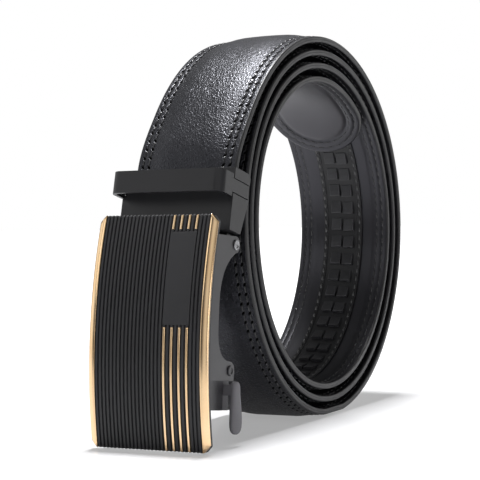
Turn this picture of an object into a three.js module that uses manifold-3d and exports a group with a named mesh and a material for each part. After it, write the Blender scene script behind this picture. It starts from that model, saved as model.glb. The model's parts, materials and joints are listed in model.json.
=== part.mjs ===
// A man's ratchet belt, coiled as for display: a leather strap wound on itself, its start gripped by a
// metal clamp with a keeper ring, and a convex ribbed buckle hinged to the clamp and standing on its edge.
// Millimetres, +Z up. The coil's axis lies along X, and the buckle faces -Y.
import * as THREE from 'three';
import { mergeVertices } from 'three/addons/utils/BufferGeometryUtils.js';
import Module from 'manifold-3d';

const wasm = await Module();
wasm.setup();

const DEG = Math.PI / 180;

// Strap
const strapWidth = 35;
const faceThickness = 1.3;
const backingThickness = 1.0;
const bondGap = 0.3;
const crownHeight = 0.3;
const stitchMargin = 4.2;
const edgeBevel = 0.4;

// Coil: radius of the strap's outer face, which shrinks by one layer for each turn
const coilRadius = 65.2;
const layerPitch = 4.37;
const frontDrift = 0.86;
const leadRise = 16.3;
const leadFade = 0.26;
const leadAngle = 35;
const leadSteps = 5;
const coilEndAngle = 1223.5;
const stationStep = 10;
const bottomAngle = 270;
const tipBearings = [90, 70, 52, 36, 22, 10];
const tipTuck = 0.8;
const tipTuckAngle = 1080;
const pressDepth = 0.45;
const coilOutOfRound = [
  { lobes: 2, cosine: -0.88, sine: 0.2 },
  { lobes: 3, cosine: -0.2, sine: 0.36 },
];

// Ratchet track sewn to the strap's inner face, near its tip
const trackWidth = 15;
const trackLength = 300;
const trackFromTip = 56;
const trackShift = -0.1;
const trackBase = 0.3;
const trackSeat = 0.25;
const railWidth = 1.5;
const railHeight = 0.3;
const toothPitch = 6.7;
const toothLength = 4.2;
const toothWidth = 3.8;
const toothHeight = 0.6;
const toothSplit = 1.2;

// Buckle plate, an arc of a cylinder seen from the side
const plateLength = 69.7;
const plateThickness = 2.3;
const plateSagitta = 4.05;
const plateTilt = 7.2;
const plateOverhang = 1.06;
const ribsEachSide = 14;
const ribTop = 0.7;
const grooveDepth = 0.35;
const chamferWidth = 2.4;
const chamferDrop = 0.68;
const cornerCut = 2.4;
const fitGap = 0.3;
const pocketDepth = 0.8;
const panelLength = 27.6;
const upperLineLength = 4.3;
const lineEndGap = 0.7;
const lineWidth = 0.62;
const lineProud = 0.05;
const grooveFlat = 0.25;
const goldDepth = 0.45;
const goldRibs = [4, 6, 8, 10];
const plateSteps = 8;

// Frame behind the plate, with its pins
const frameFloor = 1.2;
const frameInset = 2.4;
const flangeThickness = 1.6;
const pinRadius = 1.0;
const pinClearance = 0.3;
const pinHeadRadius = 1.4;
const pinHeadHeight = 0.7;
const hingeBehind = 15.5;
const hingeRise = 26.9;
const hingeLug = 2.6;
const pawlBehind = 14.5;
const pawlDrop = 10.7;
const pawlLug = 2.7;
const flangeTop = 28.9;
const flangeFoot = 3.1;
const flangeHeel = 2.4;
const frameEndInset = 0.8;
const waistDepth = 6.7;
const waistFoot = -0.5;
const waistTop = 8.5;
const lugFillet = 0.8;
const shoulderDrop = 7;
const shoulderTurn = 0.6;
const cheekLap = 0.3;
const cheekThickness = 1.6;
const cheekDepth = 13;
const cheekFoot = 11.8;

// Release lever
const leverHub = 2.4;
const leverSideGap = 0.5;
const paddleThickness = 1.9;
const paddleLength = 15.6;
const paddleFront = 0.9;
const paddleRearTop = 2.5;
const paddleRearFoot = 5.4;
const neckDrop = 4.1;
const neckHeight = 3.2;
const neckReach = 2.2;
const webReach = 3.3;
const neckLap = 4.5;
const noseGap = 3.3;
const noseDrop = 3.6;
const noseThickness = 1.6;

// Clamp that grips the strap's start
const clampTilt = 15;
const strapSideGap = 0.6;
const clampHeight = 19.1;
const clampWall = 2.2;
const clampSide = 1.3;
const clampFloor = 1.2;
const clampDepth = 9.8;
const clampFootDepth = 6.8;
const clampShoulder = 10.6;
const strapSeat = 0.5;
const strapStart = 1.6;
const hingeInClampDepth = 7.2;
const hingeInClampDrop = 3.1;
const knuckleRadius = 2.5;
const jawThickness = 1.6;
const jawHeight = 15.8;

// Keeper ring round the strap and the clamp
const keeperThickness = 1.1;
const keeperFront = 7.6;
const keeperRear = 10.4;
const keeperHeight = 6.9;
const keeperNeck = 4.05;
const keeperRise = 10;
const keeperNeckStart = 0.5;
const keeperCorner = 2.75;
const keeperRearCorner = 1.6;

const floorGap = 0.25;
const hingeStandoff = 2.4;

// Sizes worked out from the ones above
const strapThickness = faceThickness + bondGap + backingThickness;
const clampWidth = strapWidth + 2 * (strapSideGap + clampSide);
const plateHalfWidth = clampWidth / 2 + plateOverhang;
const faceHalfWidth = plateHalfWidth - chamferWidth;
const ribPitch = faceHalfWidth / ribsEachSide;
const panelEnd = plateLength / 2 - fitGap - upperLineLength - lineEndGap;
const panelStart = panelEnd - panelLength;
const plateRadius = (plateLength ** 2 / 4 + plateSagitta ** 2) / (2 * plateSagitta);
const flangeOuter = plateHalfWidth - frameInset;
const flangeInner = flangeOuter - flangeThickness;
const knuckleHalfWidth = flangeInner - leverSideGap;
const noseWidth = trackWidth - 2 * railWidth;

function material(color, roughness, metalness) {
  return new THREE.MeshStandardMaterial({ color, roughness, metalness });
}

const leather = material(0x1a1a1c, 0.5, 0);
const backing = material(0x2c2c30, 0.6, 0);
const trackPlastic = material(0x17171a, 0.55, 0);
const plateBlack = material(0x39393c, 0.5, 0.6);
const clampBlack = material(0x2a292c, 0.4, 0.6);
const frameGrey = material(0x4c4b50, 0.4, 0.7);
const gold = material(0xe8bf85, 0.2, 1);
const steel = material(0xb8b8bc, 0.3, 1);

// Closed solids and booleans

function closed(geometry) {
  geometry.deleteAttribute('normal');
  geometry.deleteAttribute('uv');
  return mergeVertices(geometry, 1e-4);
}

function solid(geometry) {
  const shape = closed(geometry);
  const vertProperties = new Float32Array(shape.attributes.position.array);
  const triVerts = new Uint32Array(shape.index.array);
  return new wasm.Manifold(new wasm.Mesh({ numProp: 3, vertProperties, triVerts }));
}

function geometryOf(manifold) {
  const mesh = manifold.getMesh();
  const geometry = new THREE.BufferGeometry();
  geometry.setAttribute('position', new THREE.BufferAttribute(new Float32Array(mesh.vertProperties), 3));
  geometry.setIndex(new THREE.BufferAttribute(new Uint32Array(mesh.triVerts), 1));
  return geometry;
}

function place(parent, name, geometry, finish) {
  const shape = geometry.attributes.normal ? closed(geometry) : geometry;
  shape.computeVertexNormals();
  const mesh = new THREE.Mesh(shape, finish);
  mesh.name = name;
  parent.add(mesh);
  return mesh;
}

function box(x0, x1, y0, y1, z0, z1) {
  const geometry = new THREE.BoxGeometry(x1 - x0, y1 - y0, z1 - z0);
  geometry.translate((x0 + x1) / 2, (y0 + y1) / 2, (z0 + z1) / 2);
  return solid(geometry);
}

function rod(radius, x0, x1, y, z, sides = 16) {
  const geometry = new THREE.CylinderGeometry(radius, radius, x1 - x0, sides);
  geometry.rotateZ(Math.PI / 2);
  geometry.translate((x0 + x1) / 2, y, z);
  return solid(geometry);
}

// An outline drawn in the (Y, Z) plane, extruded along X from x0 to x1
function sideProfile(shape, x0, x1, curveSegments = 6) {
  const geometry = new THREE.ExtrudeGeometry(shape, { depth: x1 - x0, bevelEnabled: false, curveSegments });
  const axes = new THREE.Matrix4().makeBasis(
    new THREE.Vector3(0, 1, 0),
    new THREE.Vector3(0, 0, 1),
    new THREE.Vector3(1, 0, 0),
  );
  geometry.applyMatrix4(axes);
  geometry.translate(x0, 0, 0);
  return solid(geometry);
}

// One closed skin over a row of rings with the same number of points, listed clockwise across the way
function skin(rings) {
  const count = rings[0].length;
  const positions = rings.flat().flatMap((point) => [point.x, point.y, point.z]);
  const index = [];
  for (let i = 0; i + 1 < rings.length; i += 1) {
    for (let j = 0; j < count; j += 1) {
      const a = i * count + j;
      const b = i * count + ((j + 1) % count);
      index.push(a, b, a + count, b, b + count, a + count);
    }
  }
  const last = (rings.length - 1) * count;
  const outline = rings.map((ring) => ring.map((point) => new THREE.Vector2(point.x, point.w)));
  for (const [a, b, c] of THREE.ShapeUtils.triangulateShape(outline[0], [])) index.push(a, b, c);
  for (const [a, b, c] of THREE.ShapeUtils.triangulateShape(outline[rings.length - 1], [])) {
    index.push(last + a, last + c, last + b);
  }
  const geometry = new THREE.BufferGeometry();
  geometry.setAttribute('position', new THREE.BufferAttribute(new Float32Array(positions), 3));
  geometry.setIndex(index);
  return geometry;
}

// A ring of skin points: x across, w outward along the station's normal
function ringAt(station, section) {
  return section.map(([x, w]) => ({
    x,
    w,
    y: station.y + station.ny * w,
    z: station.z + station.nz * w,
  }));
}

// The coil's path

function coilFaceRadius(angle) {
  const theta = angle * DEG;
  const turns = angle / 360;
  let radius = coilRadius - layerPitch * turns + frontDrift * turns * Math.cos(theta);
  radius += leadRise * Math.exp(-theta / leadFade);
  for (const { lobes, cosine, sine } of coilOutOfRound) {
    radius += cosine * Math.cos(lobes * theta) + sine * Math.sin(lobes * theta);
  }
  const tuck = Math.max(0, (angle - tipTuckAngle) / (coilEndAngle - tipTuckAngle));
  return radius - tipTuck * tuck ** 2;
}

function coilOffset(angle) {
  const radius = coilFaceRadius(angle);
  return new THREE.Vector2(-radius * Math.cos(angle * DEG), radius * Math.sin(angle * DEG));
}

const coilHeight = -coilOffset(bottomAngle).y - pressDepth + crownHeight;

function coilPoint(angle) {
  const offset = coilOffset(angle);
  const height = Math.max(coilHeight + offset.y, crownHeight);
  return new THREE.Vector2(offset.x, height);
}

// The hinge stands where the buckle's lower edge just clears the floor
const tilt = plateTilt * DEG;
const lean = clampTilt * DEG;
const hinge = new THREE.Vector2(
  -(coilRadius + hingeStandoff),
  floorGap + (plateLength / 2 + hingeRise) * Math.cos(tilt) + (plateThickness - hingeBehind) * Math.sin(tilt),
);
const clampCorner = new THREE.Vector2(
  hinge.x - hingeInClampDepth * Math.cos(lean) + hingeInClampDrop * Math.sin(lean),
  hinge.y + hingeInClampDepth * Math.sin(lean) + hingeInClampDrop * Math.cos(lean),
);
const strapFaceInClamp = clampWall + strapSeat;

function inClamp(depth, height) {
  return new THREE.Vector2(
    clampCorner.x + depth * Math.cos(lean) + height * Math.sin(lean),
    clampCorner.y - depth * Math.sin(lean) + height * Math.cos(lean),
  );
}

// Straight up through the clamp, a Bezier lead-in, then the coil's turns and the rounded tip
function strapStations() {
  const start = inClamp(strapFaceInClamp, strapStart);
  const mouth = inClamp(strapFaceInClamp, clampHeight);
  const join = coilPoint(leadAngle);
  const heading = join.clone().sub(coilPoint(leadAngle - 0.5)).normalize();
  const upward = mouth.clone().sub(start).normalize();
  const reach = join.distanceTo(mouth) / 3;
  const lead = new THREE.CubicBezierCurve(
    mouth,
    mouth.clone().addScaledVector(upward, reach),
    join.clone().addScaledVector(heading, -reach),
    join,
  );
  const row = [start, ...lead.getPoints(leadSteps)].map((point) => ({ point, share: 1 }));
  const tipArc = strapWidth / 2 / coilFaceRadius(coilEndAngle) / DEG;
  const lastAngle = coilEndAngle - tipArc - stationStep / 3;
  for (let angle = leadAngle + stationStep; angle < lastAngle; angle += stationStep) {
    row.push({ point: coilPoint(angle), share: 1 });
  }
  for (const bearing of tipBearings) {
    const angle = coilEndAngle - tipArc * (1 - Math.cos(bearing * DEG));
    row.push({ point: coilPoint(angle), share: Math.sin(bearing * DEG) });
  }
  let travelled = 0;
  return row.map(({ point, share }, i) => {
    const previous = row[Math.max(i - 1, 0)].point;
    const next = row[Math.min(i + 1, row.length - 1)].point;
    const tangent = next.clone().sub(previous).normalize();
    travelled += point.distanceTo(previous);
    const pressed = point.y === crownHeight;
    const [ny, nz] = pressed ? [0, -1] : [-tangent.y, tangent.x];
    return { y: point.x, z: point.y, ny, nz, share, travelled };
  });
}

const stations = strapStations();
const strapLength = stations[stations.length - 1].travelled;

// A point of the strap's path at a given length from its start
function stationAt(length) {
  const i = Math.max(1, stations.findIndex((station) => station.travelled >= length));
  const a = stations[i - 1];
  const b = stations[i];
  const t = (length - a.travelled) / (b.travelled - a.travelled);
  const mix = (key) => a[key] + (b[key] - a[key]) * t;
  return { y: mix('y'), z: mix('z'), ny: mix('ny'), nz: mix('nz') };
}

function strapLayer(section) {
  return skin(stations.map((station) => ringAt(station, section.map(([x, w]) => [x * station.share, w]))));
}

// Across the face: bevelled edges, flat stitched margins and a padded, slightly crowned middle
function faceSection() {
  const half = strapWidth / 2;
  const pad = half - stitchMargin;
  const right = [
    [pad / 2, crownHeight],
    [pad, crownHeight / 2],
    [pad + edgeBevel, 0],
    [half - edgeBevel, 0],
    [half, -edgeBevel],
    [half, -faceThickness],
  ];
  return [...right, ...right.map(([x, w]) => [-x, w]).reverse()];
}

function backingSection() {
  const half = strapWidth / 2;
  const top = -faceThickness - bondGap;
  return [
    [half, top],
    [half, -strapThickness],
    [-half, -strapThickness],
    [-half, top],
  ];
}

// The track: a thin base with a rail along each side and two columns of teeth
function trackGeometry() {
  const under = -strapThickness - trackSeat;
  const half = trackWidth / 2;
  const begin = strapLength - trackFromTip - trackLength;
  const end = begin + trackLength;
  const section = [
    [half, under],
    [half, under - trackBase - railHeight],
    [half - railWidth, under - trackBase - railHeight],
    [half - railWidth, under - trackBase],
    [-half + railWidth, under - trackBase],
    [-half + railWidth, under - trackBase - railHeight],
    [-half, under - trackBase - railHeight],
    [-half, under],
  ].map(([x, w]) => [x + trackShift, w]);
  const inner = stations.filter(({ travelled }) => travelled > begin && travelled < end);
  const base = skin([stationAt(begin), ...inner, stationAt(end)].map((station) => ringAt(station, section)));
  let track = solid(base);
  const low = under - trackBase / 2;
  const high = under - trackBase - toothHeight;
  const rows = Math.floor((trackLength - toothLength) / toothPitch);
  for (let row = 0; row < rows; row += 1) {
    const from = begin + toothPitch * (row + 0.5);
    for (const side of [-1, 1]) {
      const near = trackShift + (side * toothSplit) / 2;
      const far = near + side * toothWidth;
      const [left, right] = [Math.min(near, far), Math.max(near, far)];
      const block = [[right, low], [right, high], [left, high], [left, low]];
      const ends = [stationAt(from), stationAt(from + toothLength)];
      track = track.add(solid(skin(ends.map((station) => ringAt(station, block)))));
    }
  }
  return geometryOf(track);
}

// Buckle pieces, in the plate's own frame: X across, Y to the rear of the plate's chord, Z along it

function plateArc(z) {
  return plateRadius - plateSagitta - Math.sqrt(plateRadius ** 2 - z ** 2);
}

function plateStations(from, to, steps) {
  return Array.from({ length: steps + 1 }, (_, i) => {
    const z = from + ((to - from) * i) / steps;
    const slope = z / plateRadius;
    return { y: plateArc(z), z, ny: -Math.sqrt(1 - slope ** 2), nz: slope };
  });
}

function bar(x0, x1, w0, w1, from, to, steps) {
  const section = [[x1, w1], [x1, w0], [x0, w0], [x0, w1]];
  return skin(plateStations(from, to, steps).map((station) => ringAt(station, section)));
}

// The plate's outline with its four corners cut off, as a block that it is cut to
function cornerBlock() {
  const side = plateHalfWidth;
  const end = plateLength / 2 + fitGap;
  const turn = end - fitGap - cornerCut;
  const near = side - cornerCut - fitGap;
  const shape = new THREE.Shape();
  shape.moveTo(-near, -end);
  shape.lineTo(near, -end);
  shape.lineTo(side, -turn);
  shape.lineTo(side, turn);
  shape.lineTo(near, end);
  shape.lineTo(-near, end);
  shape.lineTo(-side, turn);
  shape.lineTo(-side, -turn);
  shape.closePath();
  const block = new THREE.ExtrudeGeometry(shape, { depth: 4 * plateSagitta, bevelEnabled: false });
  block.rotateX(Math.PI / 2);
  block.translate(0, 2 * plateSagitta, 0);
  return solid(block);
}

function facePlateGeometry() {
  const ledge = -chamferDrop - goldDepth - fitGap;
  const ribs = [];
  for (let rib = -ribsEachSide; rib < ribsEachSide; rib += 1) {
    const middle = (rib + 0.5) * ribPitch;
    const side = (ribPitch * ribTop) / 2;
    const foot = ribPitch / 2 - grooveFlat / 2;
    ribs.push([middle - foot, -grooveDepth], [middle - side, 0]);
    ribs.push([middle + side, 0], [middle + foot, -grooveDepth]);
  }
  const across = [
    [-plateHalfWidth, -plateThickness],
    [-plateHalfWidth, ledge],
    [-faceHalfWidth, ledge],
    ...ribs,
    [faceHalfWidth, ledge],
    [plateHalfWidth, ledge],
    [plateHalfWidth, -plateThickness],
  ];
  const half = plateLength / 2;
  const rings = plateStations(-half, half, plateSteps).map((station) => ringAt(station, across));
  let plate = solid(skin(rings)).intersect(cornerBlock());
  const panelLeft = ribPitch * goldRibs[0];
  const panelRight = ribPitch * (goldRibs[goldRibs.length - 1] + 1);
  const pocket = bar(panelLeft, panelRight, -pocketDepth, fitGap, panelStart, panelEnd, plateSteps);
  plate = plate.subtract(solid(pocket));
  for (const { x, from, to } of goldLines()) {
    const slot = lineWidth / 2 + fitGap;
    const low = from - 2 * fitGap;
    const high = to + 2 * fitGap;
    plate = plate.subtract(solid(bar(x - slot, x + slot, -pocketDepth, fitGap, low, high, plateSteps)));
  }
  return geometryOf(plate);
}

function panelGeometry() {
  const left = ribPitch * goldRibs[0] + fitGap;
  const right = ribPitch * (goldRibs[goldRibs.length - 1] + 1) - fitGap;
  return bar(left, right, fitGap - pocketDepth, 0, panelStart + fitGap, panelEnd - fitGap, plateSteps);
}

// The gold lines run on some of the ribs, above and below the smooth panel
function goldLines() {
  const half = plateLength / 2;
  const runs = [
    { set: 'upper', from: panelEnd + lineEndGap, to: half - fitGap },
    { set: 'lower', from: -half + fitGap, to: panelStart - lineEndGap },
  ];
  return runs.flatMap(({ set, from, to }) => goldRibs.map((rib, i) => ({
    name: `gold_line_${set}_${i + 1}`,
    x: (rib + 0.5) * ribPitch,
    from,
    to,
  })));
}

function goldEdgeGeometry(side) {
  const inner = faceHalfWidth + fitGap;
  const drop = (chamferDrop * fitGap) / chamferWidth;
  const foot = -chamferDrop - goldDepth;
  const section = [
    [inner, -drop],
    [plateHalfWidth, -chamferDrop],
    [plateHalfWidth, foot],
    [inner, foot],
  ].map(([x, w]) => [side * x, w]);
  const half = plateLength / 2;
  const ordered = side > 0 ? section : section.reverse();
  const rings = plateStations(-half, half, plateSteps).map((station) => ringAt(station, ordered));
  return geometryOf(solid(skin(rings)).intersect(cornerBlock()));
}

// The flange seen from the side: a lug round each pin and a waisted rear edge between them
function flangeShape() {
  const foot = -pawlDrop - flangeFoot;
  const shape = new THREE.Shape();
  shape.moveTo(-plateSagitta, foot);
  shape.lineTo(pawlBehind + flangeHeel, foot);
  shape.lineTo(pawlBehind + pawlLug, -pawlDrop);
  shape.absarc(pawlBehind, -pawlDrop, pawlLug, 0, Math.PI / 2, false);
  shape.quadraticCurveTo(waistDepth + lugFillet, pawlLug - pawlDrop, waistDepth, waistFoot);
  shape.lineTo(waistDepth, waistTop);
  shape.quadraticCurveTo(waistDepth, hingeRise - shoulderDrop, hingeBehind, hingeRise - hingeLug);
  shape.absarc(hingeBehind, hingeRise, hingeLug, -Math.PI / 2 + shoulderTurn, Math.PI / 2, false);
  shape.lineTo(-plateSagitta, flangeTop);
  shape.closePath();
  return shape;
}

function frameGeometry() {
  const half = plateLength / 2 - frameEndInset;
  const front = plateThickness + fitGap;
  let frame = solid(bar(-flangeOuter, flangeOuter, -front - frameFloor, -front, -half, half, plateSteps));
  const cheekTop = -pawlDrop - flangeFoot + cheekLap;
  for (const side of [-1, 1]) {
    const [inner, outer] = [side * flangeInner, side * flangeOuter].sort((a, b) => a - b);
    frame = frame.add(sideProfile(flangeShape(), inner, outer));
    const far = side * (flangeInner + cheekLap);
    const near = far - side * cheekThickness;
    const [left, right] = [near, far].sort((a, b) => a - b);
    frame = frame.add(box(left, right, -plateSagitta, cheekDepth, -pawlDrop - cheekFoot, cheekTop));
  }
  const reach = half + frameEndInset + fitGap;
  const ahead = front + plateSagitta;
  const space = bar(-plateHalfWidth, plateHalfWidth, -front, ahead, -reach, reach, plateSteps);
  frame = frame.subtract(solid(space));
  const hole = pinRadius + pinClearance;
  frame = frame.subtract(rod(hole, -plateHalfWidth, plateHalfWidth, hingeBehind, hingeRise));
  frame = frame.subtract(rod(hole, -plateHalfWidth, plateHalfWidth, pawlBehind, -pawlDrop));
  return geometryOf(frame);
}

// A pin along X about the group's own axis, with a head outside each flange
function pinGeometry() {
  const seat = flangeOuter + pinClearance;
  const reach = seat + pinHeadHeight;
  let pin = rod(pinRadius, -reach, reach, 0, 0);
  pin = pin.add(rod(pinHeadRadius, -reach, -seat, 0, 0));
  pin = pin.add(rod(pinHeadRadius, seat, reach, 0, 0));
  return geometryOf(pin);
}

// The pawl's nose slopes down from the hub and stops short of the frame's floor, where the track passes
function noseShape() {
  const floorRear = plateArc(-pawlDrop - noseDrop) + plateThickness + fitGap + frameFloor;
  const reach = pawlBehind - floorRear - noseGap;
  const shape = new THREE.Shape();
  shape.moveTo(0, leverHub - noseThickness / 2);
  shape.lineTo(-reach, -noseDrop);
  shape.lineTo(noseThickness / 2 - reach, -noseDrop - noseThickness);
  shape.lineTo(0, -leverHub);
  shape.closePath();
  return shape;
}

// The lever turns about its pin: a hub, a pawl nose toward the plate, a web, and a neck out to the paddle
function leverGeometry() {
  const paddleInner = flangeOuter + pinClearance;
  const top = -flangeFoot;
  const foot = top - paddleLength;
  const round = (paddleFront + paddleRearFoot) / 2;
  const middle = (paddleRearFoot - paddleFront) / 2;
  const paddle = new THREE.Shape();
  paddle.moveTo(-paddleFront, foot + round);
  paddle.absarc(middle, foot + round, round, Math.PI, 2 * Math.PI, false);
  paddle.quadraticCurveTo(paddleRearTop + paddleFront, (top + foot) / 2, paddleRearTop, top);
  paddle.lineTo(-paddleFront, top);
  paddle.closePath();
  const neckFoot = -neckDrop - neckHeight;
  const neckStart = knuckleHalfWidth - neckLap;
  let lever = rod(leverHub, -knuckleHalfWidth, knuckleHalfWidth, 0, 0);
  lever = lever.add(box(neckStart, knuckleHalfWidth, -paddleFront, webReach, -cheekFoot, 0));
  const neckEnd = paddleInner + paddleThickness / 2;
  lever = lever.add(box(neckStart, neckEnd, -paddleFront, neckReach, neckFoot, -neckDrop));
  lever = lever.add(sideProfile(noseShape(), -noseWidth / 2, noseWidth / 2));
  lever = lever.add(sideProfile(paddle, paddleInner, paddleInner + paddleThickness));
  lever = lever.subtract(rod(pinRadius + pinClearance, -plateHalfWidth, plateHalfWidth, 0, 0));
  return geometryOf(lever);
}

// Clamp pieces, in the clamp's own frame: Y to the rear of its front wall, Z up along the strap

function clampGeometry() {
  const half = clampWidth / 2;
  const inner = half - clampSide;
  const side = new THREE.Shape();
  side.moveTo(0, 0);
  side.lineTo(clampFootDepth, 0);
  side.lineTo(clampDepth, clampShoulder);
  side.lineTo(clampDepth, clampHeight - 1);
  side.lineTo(clampDepth - 1, clampHeight);
  side.lineTo(0, clampHeight);
  side.closePath();
  let clamp = box(-half, half, 0, clampWall, 0, clampHeight);
  clamp = clamp.add(box(-half, half, 0, clampFootDepth, 0, clampFloor));
  clamp = clamp.add(sideProfile(side, -half, -inner));
  clamp = clamp.add(sideProfile(side, inner, half));
  const webFront = hingeInClampDepth - knuckleRadius;
  const [left, right] = [-knuckleHalfWidth, knuckleHalfWidth];
  clamp = clamp.add(rod(knuckleRadius, left, right, hingeInClampDepth, -hingeInClampDrop));
  clamp = clamp.add(box(left, right, webFront, clampFootDepth, -hingeInClampDrop, clampFloor / 2));
  const slotLow = keeperRise + (keeperHeight - keeperNeck) / 2 - fitGap;
  const slotHigh = slotLow + keeperNeck + 2 * fitGap;
  const slotInner = half - keeperThickness - fitGap;
  for (const [x0, x1] of [[-half - 1, -slotInner], [slotInner, half + 1]]) {
    clamp = clamp.subtract(box(x0, x1, -1, clampDepth + 1, slotLow, slotHigh));
  }
  const hole = pinRadius + pinClearance;
  clamp = clamp.subtract(rod(hole, -plateHalfWidth, plateHalfWidth, hingeInClampDepth, -hingeInClampDrop));
  return geometryOf(clamp);
}

function jawGeometry() {
  const half = clampWidth / 2 - clampSide - fitGap;
  const front = strapFaceInClamp + strapThickness + fitGap;
  const rear = front + jawThickness;
  return geometryOf(box(-half, half, front, rear, clampFloor + fitGap, clampFloor + jawHeight));
}

function roundedOutline(half, y0, y1, frontRadius, rearRadius) {
  const shape = new THREE.Shape();
  shape.moveTo(-half + frontRadius, y0);
  shape.lineTo(half - frontRadius, y0);
  shape.absarc(half - frontRadius, y0 + frontRadius, frontRadius, -Math.PI / 2, 0, false);
  shape.lineTo(half, y1 - rearRadius);
  shape.absarc(half - rearRadius, y1 - rearRadius, rearRadius, 0, Math.PI / 2, false);
  shape.lineTo(-half + rearRadius, y1);
  shape.absarc(-half + rearRadius, y1 - rearRadius, rearRadius, Math.PI / 2, Math.PI, false);
  shape.lineTo(-half, y0 + frontRadius);
  shape.absarc(-half + frontRadius, y0 + frontRadius, frontRadius, Math.PI, 1.5 * Math.PI, false);
  return shape;
}

// A flat band bent into a ring, tall in front and narrow where it lies in the clamp's slots
function keeperGeometry() {
  const half = clampWidth / 2;
  const outer = roundedOutline(half, -keeperFront, keeperRear, keeperCorner, keeperRearCorner);
  const inset = keeperThickness;
  const hole = roundedOutline(
    half - inset,
    inset - keeperFront,
    keeperRear - inset,
    keeperCorner - inset,
    keeperRearCorner - inset,
  );
  outer.holes.push(hole);
  const form = { depth: keeperHeight, bevelEnabled: false, curveSegments: 5 };
  const band = new THREE.ExtrudeGeometry(outer, form);
  band.translate(0, 0, keeperRise);
  const shoulder = (keeperHeight - keeperNeck) / 2;
  const top = keeperRise + keeperHeight;
  let keeper = solid(band);
  for (const [low, high] of [[keeperRise - 1, keeperRise + shoulder], [top - shoulder, top + 1]]) {
    keeper = keeper.subtract(box(-half - 1, half + 1, -keeperNeckStart, keeperRear + 1, low, high));
  }
  return geometryOf(keeper);
}

// Assembly

const belt = new THREE.Group();
place(belt, 'outer_leather', strapLayer(faceSection()), leather);
place(belt, 'backing_leather', strapLayer(backingSection()), backing);
place(belt, 'ratchet_track', trackGeometry(), trackPlastic);

const clampGroup = new THREE.Group();
clampGroup.position.set(0, clampCorner.x, clampCorner.y);
clampGroup.rotation.x = -lean;
place(clampGroup, 'clamp_body', clampGeometry(), clampBlack);
place(clampGroup, 'clamp_jaw', jawGeometry(), frameGrey);
place(clampGroup, 'keeper_ring', keeperGeometry(), clampBlack);
belt.add(clampGroup);

const buckleGroup = new THREE.Group();
buckleGroup.position.set(0, hinge.x, hinge.y);
buckleGroup.rotation.x = -tilt;
const plateGroup = new THREE.Group();
plateGroup.position.set(0, -hingeBehind, -hingeRise);
place(plateGroup, 'face_plate', facePlateGeometry(), plateBlack);
place(plateGroup, 'smooth_panel', panelGeometry(), plateBlack);
place(plateGroup, 'gold_edge_left', goldEdgeGeometry(-1), gold);
place(plateGroup, 'gold_edge_right', goldEdgeGeometry(1), gold);
for (const { name, x, from, to } of goldLines()) {
  const [left, right] = [x - lineWidth / 2, x + lineWidth / 2];
  const line = bar(left, right, fitGap - pocketDepth, lineProud, from, to, plateSteps);
  place(plateGroup, name, line, gold);
}
place(plateGroup, 'buckle_frame', frameGeometry(), frameGrey);
buckleGroup.add(plateGroup);
place(buckleGroup, 'hinge_pin', pinGeometry(), steel);

const leverGroup = new THREE.Group();
leverGroup.position.set(0, pawlBehind - hingeBehind, -pawlDrop - hingeRise);
place(leverGroup, 'pawl_pin', pinGeometry(), steel);
place(leverGroup, 'release_lever', leverGeometry(), frameGrey);
buckleGroup.add(leverGroup);
belt.add(buckleGroup);

// The origin lies on the floor under the middle of the whole belt
const reach = new THREE.Box3().setFromObject(belt, true);
belt.position.set(-(reach.min.x + reach.max.x) / 2, -(reach.min.y + reach.max.y) / 2, -reach.min.z);

const ratchetBelt = new THREE.Group();
ratchetBelt.add(belt);
export default ratchetBelt;
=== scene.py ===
import json
import math
import bmesh
import bpy
import numpy as np
from mathutils import Matrix, Vector


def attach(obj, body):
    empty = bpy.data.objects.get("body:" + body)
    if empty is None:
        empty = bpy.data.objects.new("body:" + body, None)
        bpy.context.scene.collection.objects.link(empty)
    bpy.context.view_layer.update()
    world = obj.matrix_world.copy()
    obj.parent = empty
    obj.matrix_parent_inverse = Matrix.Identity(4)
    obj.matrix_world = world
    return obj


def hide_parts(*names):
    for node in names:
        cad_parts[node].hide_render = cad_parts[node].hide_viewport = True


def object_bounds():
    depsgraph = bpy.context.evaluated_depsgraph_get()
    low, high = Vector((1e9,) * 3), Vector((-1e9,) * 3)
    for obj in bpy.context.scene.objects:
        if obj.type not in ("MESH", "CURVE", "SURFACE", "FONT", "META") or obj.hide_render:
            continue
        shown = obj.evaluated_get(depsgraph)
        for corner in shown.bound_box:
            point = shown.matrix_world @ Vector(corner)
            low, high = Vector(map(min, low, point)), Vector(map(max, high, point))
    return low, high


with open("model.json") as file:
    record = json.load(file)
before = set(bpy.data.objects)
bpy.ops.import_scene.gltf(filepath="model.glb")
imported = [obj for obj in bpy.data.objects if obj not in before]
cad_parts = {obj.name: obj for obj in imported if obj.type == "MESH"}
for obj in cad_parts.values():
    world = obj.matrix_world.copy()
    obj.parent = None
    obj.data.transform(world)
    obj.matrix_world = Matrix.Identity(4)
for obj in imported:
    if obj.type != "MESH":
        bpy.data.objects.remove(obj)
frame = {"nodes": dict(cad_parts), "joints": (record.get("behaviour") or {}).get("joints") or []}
cadLow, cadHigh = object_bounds()
mm = 0.001

# Places taken from the frame: both pins
jointPlaces = {joint["name"]: joint["pos_m"] for joint in frame["joints"]}
hingeY, hingeZ = jointPlaces["buckle_hinge"][1:]
pawlY, pawlZ = jointPlaces["lever_hinge"][1:]


# Small tools

def smoothStep(low, high, value):
    # 0 before low, 1 after high, an S curve between
    t = np.clip((value - low) / (high - low), 0, 1)
    return t * t * (3 - 2 * t)


def dent(distance, place, width):
    # a bell curve one high at place
    return np.exp(-((distance - place) / width) ** 2)


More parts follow.
